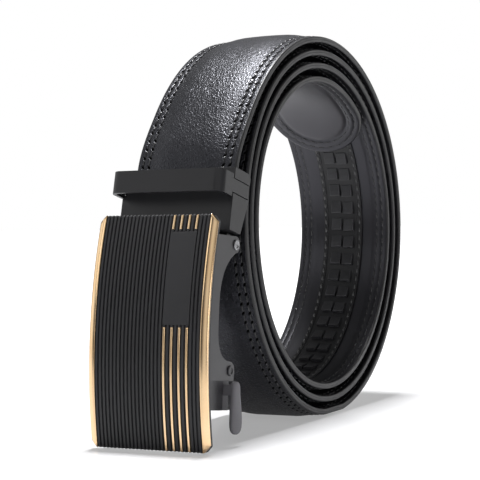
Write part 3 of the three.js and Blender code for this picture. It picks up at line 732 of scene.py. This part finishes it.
ribPitch = plate["faceHalf"] / plate["ribsEachSide"]
plateCorner = turned(-plate["hingeBehind"], -plate["hingeRise"], plate["tilt"], hingeY, hingeZ)
panelStart = plate["panelEnd"] - plate["panelLength"]
panelLeft = ribPitch * plate["goldRibs"][0]
panelRight = ribPitch * (plate["goldRibs"][-1] + 1)


def onPlate(across, outward, height):
    # points of the frame from X, height above the plate's curved face and length along its chord
    arc = plateRadius - plate["sagitta"] - np.sqrt(plateRadius ** 2 - height ** 2)
    slope = height / plateRadius
    depth = arc - outward * np.sqrt(1 - slope ** 2)
    rise = height + outward * slope
    yz = turned(depth, rise, plate["tilt"], *plateCorner)
    return np.concatenate([(across + 0 * yz[..., 0])[..., None], yz], -1)


def goldLines():
    # each line's node, the middle of its rib, and where it starts and ends along the plate
    half = plate["length"] / 2
    runs = (("upper", plate["panelEnd"] + plate["lineGap"], half - plate["gap"]),
            ("lower", -half + plate["gap"], panelStart - plate["lineGap"]))
    return [(f"gold_line_{name}_{i + 1}", (rib + 0.5) * ribPitch, low, high)
            for name, low, high in runs for i, rib in enumerate(plate["goldRibs"])]


def ribSamples():
    # one rib from side to side, as shares of the pitch and of the groove's depth
    side = [(0.02, 1.0), (0.14, 1.0), (0.19, 0.72), (0.22, 0.22), (0.27, 0.03)]
    return np.array(side + [(0.5, 0.0), (0.73, 0.03), (0.78, 0.22), (0.81, 0.72), (0.86, 1.0)])


def cutCorners(piece):
    # cuts the plate's four corners off along slanted planes and closes the holes
    reach = plate["halfWidth"] + plate["length"] / 2 - plate["cornerCut"]
    sine, cosine = math.sin(plate["tilt"]), math.cos(plate["tilt"])
    work = bmesh.new()
    work.from_mesh(piece.data)
    for side in (-1, 1):
        for end in (-1, 1):
            normal = Vector((side, end * sine, end * cosine)).normalized()
            on = Vector((0, *turned(0, end * reach, plate["tilt"], *plateCorner)))
            everything = work.verts[:] + work.edges[:] + work.faces[:]
            cut = bmesh.ops.bisect_plane(work, geom=everything, dist=1e-7, plane_co=on, plane_no=normal,
                                         clear_outer=True)
            rim = [part for part in cut["geom_cut"] if isinstance(part, bmesh.types.BMEdge)]
            bmesh.ops.triangle_fill(work, edges=rim, use_beauty=True)
    bmesh.ops.recalc_face_normals(work, faces=work.faces)
    work.to_mesh(piece.data)
    work.free()


def plateFace():
    # a closed section of ribs carried down the curve, pressed in at the pockets and chamfered at both ends
    half = plate["length"] / 2
    samples = ribSamples()
    ribs = np.arange(-plate["ribsEachSide"], plate["ribsEachSide"])
    across = ((ribs[:, None] + samples[None, :, 0]) * ribPitch).ravel()
    depth = np.tile(samples[:, 1] * plate["groove"], len(ribs))
    marks = [panelStart, plate["panelEnd"]] + [end for line in goldLines() for end in line[2:]]
    heights = list(np.linspace(-half, half, plate["rows"]))
    heights += [mark + step for mark in marks for step in (-0.01 * mm, 0.01 * mm)]
    heights += [side * half * (1 - share) for side in (-1, 1) for share in (0.002, 0.006, 0.0144)]
    heights = np.unique(np.round(heights, 7))[:, None]
    outward = -depth[None, :] + 0 * heights
    inPanel = (heights > panelStart) & (heights < plate["panelEnd"])
    panelSide = (across > panelLeft) & (across < panelRight)
    outward = np.where(inPanel & panelSide[None, :], -plate["pocket"], outward)
    for _, middle, low, high in goldLines():
        inLine = (np.abs(across - middle) < plate["linePocket"])[None, :] & (heights > low) & (heights < high)
        outward = np.where(inLine, -plate["pocket"], outward)
    ledge = -plate["chamferDrop"] - plate["goldDepth"] - 0.05 * mm
    edge, inner, back, cut = plate["halfWidth"], plate["faceHalf"] + 0.02 * mm, -plate["thickness"], 0.3 * mm
    leftSide = np.array([(-edge + cut, back), (-edge, back + cut), (-edge, ledge), (-inner, ledge)])
    rightSide = leftSide[::-1] * (-1, 1)
    allAcross = np.concatenate([leftSide[:, 0], across, rightSide[:, 0]])[None, :] + 0 * heights
    parts = [leftSide[None, :, 1] + 0 * heights, outward, rightSide[None, :, 1] + 0 * heights]
    allOutward = np.concatenate(parts, 1)
    fromEnd = half - np.abs(heights)
    chamfer = plate["endChamfer"] * np.clip(1 - fromEnd / plate["endChamfer"], 0, 1)
    allOutward = np.where(allOutward > back + 0.5 * mm, allOutward - chamfer, allOutward)
    points = onPlate(allAcross, allOutward, heights)
    piece = meshPiece("plateFace", points, loftFaces(*allAcross.shape), "buckle",
                      [finishes["plate"]], ["face_plate"], False)
    cutCorners(facedOut(piece))


def plateBar(name, section, low, high, material, replaced, endRound, steps=60, smooth=False):
    # a closed section carried along the plate's curve, drawn in a little at each end
    section = np.array(section)
    ends = np.array([0, 0.3, 1.0]) * endRound
    between = np.linspace(low + endRound, high - endRound, steps)
    heights = np.unique(np.concatenate([low + ends, between, high - ends]))[:, None]
    fromEnd = np.minimum(heights - low, high - heights)
    pull = -edgeCurve(fromEnd, endRound)
    top = section[None, :, 1].max()
    outward = np.minimum(section[None, :, 1] + 0 * heights, top - pull)
    across = section[None, :, 0] + 0 * heights
    points = onPlate(across, outward, heights)
    faces = loftFaces(len(heights), len(section))
    return facedOut(meshPiece(name, points, faces, "buckle", [material], replaced, smooth))


def smoothPanel():
    # a flat bar with rounded edges in its pocket among the ribs
    left, right = panelLeft + plate["panelGap"], panelRight - plate["panelGap"]
    foot, r, gap = -plate["foot"], 0.08 * mm, 0.05 * mm
    section = [(left, foot), (left, -r), (left + r, 0), (right - r, 0), (right, -r), (right, foot)]
    plateBar("smoothPanel", section, panelStart + gap, plate["panelEnd"] - gap, finishes["plate"],
             ["smooth_panel"], 0.15 * mm)


def goldLine(name, middle, low, high):
    # a half-round wire sunk in its pocket
    turn = np.linspace(0, math.pi, 9)
    x = middle + plate["lineWidth"] / 2 * np.cos(turn)
    w = plate["lineCrown"] * np.sin(turn) - plate["lineCrown"] + 0.05 * mm
    section = list(zip(x, w)) + [(x[-1], -plate["foot"]), (x[0], -plate["foot"])]
    plateBar(name + "_bar", section, low, high, finishes["gold"], [name], 0.12 * mm, 50, True)


goldEdge = {"crown": 0.22 * mm, "points": 11}


def goldEdgeBar(side, name):
    # a sloped bar whose top bulges a little, so that its gloss runs from light to dark across it
    inner, outer = plate["faceHalf"] + plate["panelGap"], plate["halfWidth"]
    t = np.linspace(0, 1, goldEdge["points"])
    x = inner + (outer - 0.12 * mm - inner) * t
    w = -plate["chamferDrop"] * t + goldEdge["crown"] * 4 * t * (1 - t)
    foot = -plate["chamferDrop"] - plate["goldDepth"]
    section = [(inner, foot), (inner, -0.05 * mm)] + list(zip(x + 0.03 * mm, w))
    section += [(outer, -plate["chamferDrop"] - 0.15 * mm), (outer, foot)]
    section = [(side * a, b) for a, b in section]
    half = plate["length"] / 2 - 0.05 * mm
    bar = plateBar(name + "_bar", section, -half, half, finishes["gold"], [name], 0.1 * mm, 60, True)
    cutCorners(bar)


plateFace()
smoothPanel()
for line in goldLines():
    goldLine(*line)
goldEdgeBar(-1, "gold_edge_left")
goldEdgeBar(1, "gold_edge_right")
print("stage: plate")


# Metal pieces that keep the frame's shape

roundedNode("clamp_body", 0.35 * mm, finishes["clamp"], 3)
roundedNode("clamp_jaw", 0.25 * mm, finishes["frame"])
roundedNode("keeper_ring", 0.6 * mm, finishes["clamp"], 4)
roundedNode("buckle_frame", 0.3 * mm, finishes["frame"], 3)

pins = {
    "reach": 18.06 * mm, "rod": 1.0 * mm, "head": 1.6 * mm, "proud": 0.5 * mm, "dish": 0.28 * mm,
    "seat": 0.02 * mm, "points": 28,
}
lever = {
    "hub": 2.4 * mm, "hubReach": 15.96 * mm, "points": 24,
    "web": (11.46 * mm, 15.96 * mm), "webDepth": (-0.9 * mm, 3.3 * mm), "webHeight": (-11.8 * mm, 0.0),
    "neckReach": 19.3 * mm, "neckDepth": (-0.9 * mm, 2.2 * mm), "neckHeight": (-7.3 * mm, -4.1 * mm),
    "paddle": (18.3 * mm, 20.42 * mm), "paddleTop": -3.1 * mm, "paddleLength": 15.7 * mm,
    "front": 0.9 * mm, "rearTop": 3.3 * mm, "rearFoot": 5.4 * mm,
    "topRound": 0.14, "footRound": 0.24, "squareness": 0.75,   # rounded shares of the length; 1 is an ellipse
}


def pinPiece(name, node, centre, body, material):
    # a rod with a dished round head at each end, turned from places along X and their radii
    head, seat, face = pins["head"], pins["reach"] + pins["seat"], pins["reach"] + pins["proud"]
    dish = face - pins["dish"]
    end = [(seat, pins["rod"]), (seat, head), (face - pins["proud"] * 0.3, head), (face, head - 0.18 * mm),
           (face, head - 0.55 * mm), (dish, head - 0.8 * mm), (dish, 0.05 * mm)]
    profile = np.array([(-x, r) for x, r in end[::-1]] + end)
    turn = fullTurn(pins["points"])
    y = centre[0] + profile[:, 1, None] * np.cos(turn)
    z = centre[1] + profile[:, 1, None] * np.sin(turn)
    points = np.stack([profile[:, 0, None] + 0 * y, y, z], -1)
    faces = loftFaces(len(profile), len(turn))
    piece = meshPiece(name, points, faces, body, [material], [node], False)
    bevelled(facedOut(piece), 0.05 * mm, 2, 25)


def boxCorners(x, depth, height):
    # a box in the lever's own places, as eight points and six faces
    corners = np.array([(a, b, c) for a in x for b in depth for c in height])
    faces = [[0, 1, 3, 2], [4, 6, 7, 5], [0, 4, 5, 1], [2, 3, 7, 6], [0, 2, 6, 4], [1, 5, 7, 3]]
    return corners, faces


def paddlePillow():
    # rings of a superellipse down the paddle, drawn in by a rounded share at both ends
    t = np.array([0, 0.006, 0.02, 0.045, 0.08, 0.14, 0.25, 0.4, 0.55, 0.68, 0.78, 0.86, 0.92, 0.96, 0.985,
                  0.997, 1.0])
    top = np.clip(t / lever["topRound"], 0.0, 1.0)
    foot = np.clip((1 - t) / lever["footRound"], 0.0, 1.0)
    drawn = (1 - (1 - top) ** 3) ** (1 / 3) * (1 - (1 - foot) ** 2.6) ** (1 / 2.6)
    drawn = np.maximum(drawn, 0.12)
    rear = lever["rearTop"] + (lever["rearFoot"] - lever["rearTop"]) * smoothStep(0.0, 0.8, t)
    middle, half = (rear - lever["front"]) / 2, (rear + lever["front"]) / 2 * drawn
    turn = fullTurn(lever["points"])
    wide, thick = (np.sign(part) * np.abs(part) ** lever["squareness"]
                   for part in (np.cos(turn), np.sin(turn)))
    inner, outer = lever["paddle"]
    depth = middle[:, None] + half[:, None] * wide
    across = (inner + outer) / 2 + (outer - inner) / 2 * np.maximum(drawn, 0.35)[:, None] * thick
    height = (lever["paddleTop"] - lever["paddleLength"] * t)[:, None] + 0 * depth
    return np.stack([across, depth, height], -1).reshape(-1, 3), loftFaces(len(t), len(turn))


def leverPiece():
    # hub, web and neck as blocks, and the pillow of the paddle, all turned with the plate's tilt
    turn = fullTurn(lever["points"])
    ring = np.stack([0 * turn, np.cos(turn) * lever["hub"], np.sin(turn) * lever["hub"]], -1)
    hub = np.concatenate([ring - (lever["hubReach"], 0, 0), ring + (lever["hubReach"], 0, 0)])
    web = boxCorners(lever["web"], lever["webDepth"], lever["webHeight"])
    neck = boxCorners((lever["web"][0], lever["neckReach"]), lever["neckDepth"], lever["neckHeight"])
    points, faces = [], []
    for corners, shape in ((hub, loftFaces(2, len(turn))), web, neck, paddlePillow()):
        faces += copiedFaces(shape, sum(len(part) for part in points))
        points.append(corners)
    local = np.concatenate(points)
    yz = turned(local[:, 1], local[:, 2], plate["tilt"], pawlY, pawlZ)
    points = np.concatenate([local[:, :1], yz], 1)
    piece = meshPiece("leverBody", points, faces, "lever", [finishes["lever"]],
                      ["release_lever"])
    bevelled(facedOut(piece), 0.2 * mm, 2, 50)
    piece.modifiers.new("evenShading", "WEIGHTED_NORMAL")


leverPiece()
pinPiece("hingePin", "hinge_pin", (hingeY, hingeZ), "buckle", finishes["steel"])
pinPiece("pawlPin", "pawl_pin", (pawlY, pawlZ), "lever", finishes["frame"])
print("stage: metal")


# Floor, lights and camera

studio = {
    "floorSize": 6.0, "floorColour": (0.86, 0.86, 0.88),
    "floorGlow": 0.33, "farGlow": 1.2, "glowMirrored": 0.35, "glowStart": 0.16, "glowEnd": 0.55,
    # the sky's level in each direction, and where along X, Y or Z one level passes into the next
    "skySoft": 0.05, "skyFront": 0.10, "skyRight": 0.70, "skyFarRight": 0.4, "skyLeft": 1.1,
    "skyBehind": 0.24, "skyAbove": 0.34,
    "toRight": (-0.25, 0.15), "toFarRight": (0.35, 0.65), "fromLeft": (-0.90, -0.62),
    "toBehind": (-0.15, 0.55), "toAbove": (0.45, 0.95),
    "lights": {
        "key": {"direction": (-0.04, 0.10, 0.97), "distance": 0.75, "size": 0.18, "power": 9.5},
        "left": {"direction": (-0.55, -0.74, 0.42), "distance": 0.9, "size": 0.40, "power": 0.5},
        "right": {"direction": (0.80, -0.58, 0.12), "distance": 0.9, "size": 0.30, "power": 0.5},
        "behind": {"direction": (0.48, 0.85, 0.20), "distance": 1.0, "size": 0.45, "power": 0.8},
    },
}


def seenDirectly(tree):
    # 1 where the camera looks, a smaller share in reflections, 0 for the soft light that a surface scatters
    path = addNode(tree, "LightPath").outputs
    mirrored = calculate(tree, "MULTIPLY", path["Is Glossy Ray"], studio["glowMirrored"])
    return calculate(tree, "ADD", path["Is Camera Ray"], mirrored)


def floorMaterial():
    # a matt floor that glows a little toward the camera, and fully where it runs off to the horizon
    material, tree, shader = newMaterial("paleFloor", specular=0.25)
    place = objectPlace(tree)
    gloss = ramp(tree, noise(tree, place, 40.0), 0.3, 0.7, 0.20, 0.24)
    setFinish(tree, shader, (*studio["floorColour"], 1), gloss)
    away = addNode(tree, "VectorMath", {0: place}, operation="LENGTH").outputs["Value"]
    glow = ramp(tree, away, studio["glowStart"], studio["glowEnd"], studio["floorGlow"], studio["farGlow"])
    seen = calculate(tree, "MULTIPLY", glow, seenDirectly(tree))
    shader.inputs["Emission Color"].default_value = (1.0, 1.0, 1.0, 1.0)
    tree.links.new(seen, shader.inputs["Emission Strength"])
    return material


def addFloor():
    size = studio["floorSize"] / 2
    mesh = bpy.data.meshes.new("floor")
    corners = [(-size, -size, 0), (size, -size, 0), (size, size, 0), (-size, size, 0)]
    mesh.from_pydata(corners, [], [(0, 1, 2, 3)])
    mesh.materials.append(floorMaterial())
    floor = bpy.data.objects.new("floor", mesh)
    bpy.context.scene.collection.objects.link(floor)


def addLight(name, values):
    light = bpy.data.lights.new(name, "AREA")
    light.shape = "DISK"
    light.size = values["size"]
    light.energy = values["power"]
    lamp = bpy.data.objects.new(name, light)
    direction = Vector(values["direction"]).normalized()
    target = (cadLow + cadHigh) / 2
    lamp.location = target + direction * values["distance"]
    lamp.rotation_euler = direction.to_track_quat("Z", "Y").to_euler()
    bpy.context.scene.collection.objects.link(lamp)


def addWorld():
    # plain white to the eye; in reflections dark in front, brighter behind and above; dim as soft light
    world = bpy.data.worlds.new("studio")
    world.use_nodes = True
    tree = world.node_tree
    path = addNode(tree, "LightPath").outputs
    direction = addNode(tree, "TexCoord").outputs["Generated"]
    x, y, z = addNode(tree, "SeparateXYZ", {0: direction}).outputs
    right = ramp(tree, x, *studio["toRight"], studio["skyFront"], studio["skyRight"])
    farRight = ramp(tree, x, *studio["toFarRight"], 1.0, studio["skyFarRight"])
    left = ramp(tree, x, *studio["fromLeft"], studio["skyLeft"], 0.0)
    front = calculate(tree, "MAXIMUM", calculate(tree, "MULTIPLY", right, farRight), left)
    level = ramp(tree, y, *studio["toBehind"], front, studio["skyBehind"])
    above = ramp(tree, z, *studio["toAbove"], 0.0, studio["skyAbove"])
    mirrored = calculate(tree, "MAXIMUM", level, above)
    light = ramp(tree, path["Is Glossy Ray"], 0.0, 1.0, studio["skySoft"], mirrored)
    strength = ramp(tree, path["Is Camera Ray"], 0.0, 1.0, light, 1.0)
    background = tree.nodes["Background"]
    background.inputs[0].default_value = (1.0, 1.0, 1.0, 1.0)
    tree.links.new(strength, background.inputs[1])
    bpy.context.scene.world = world
    bpy.context.scene.view_settings.view_transform = "Standard"


camera = {
    "place": (248.46 * mm, -489.28 * mm, 73.74 * mm),   # from the middle of the coil, on the floor
    "turn": math.radians(28.5), "pitch": math.radians(-1.482), "roll": math.radians(1.45),
    "focalPixels": 1605.4, "framePixels": 480, "sensor": 36.0,
}


def addCamera():
    data = bpy.data.cameras.new("photoCamera")
    data.sensor_width = camera["sensor"]
    data.lens = camera["focalPixels"] * camera["sensor"] / camera["framePixels"]
    data.clip_start, data.clip_end = 0.01, 20
    turn, pitch = camera["turn"], camera["pitch"]
    ahead = Vector((-math.sin(turn) * math.cos(pitch), math.cos(turn) * math.cos(pitch), math.sin(pitch)))
    right = Vector((math.cos(turn), math.sin(turn), 0))
    up = right.cross(ahead)
    roll = Matrix.Rotation(camera["roll"], 3, ahead)
    right, up = roll @ right, roll @ up
    cam = bpy.data.objects.new("photoCamera", data)
    bpy.context.scene.collection.objects.link(cam)
    rotation = Matrix((right, up, -ahead)).transposed().to_4x4()
    place = Vector(camera["place"]) + Vector((0, coilY, 0))
    cam.matrix_world = Matrix.Translation(place) @ rotation
    bpy.context.scene.camera = cam


addFloor()
for lightName, values in studio["lights"].items():
    addLight(lightName, values)
addWorld()
addCamera()
print("stage: studio")
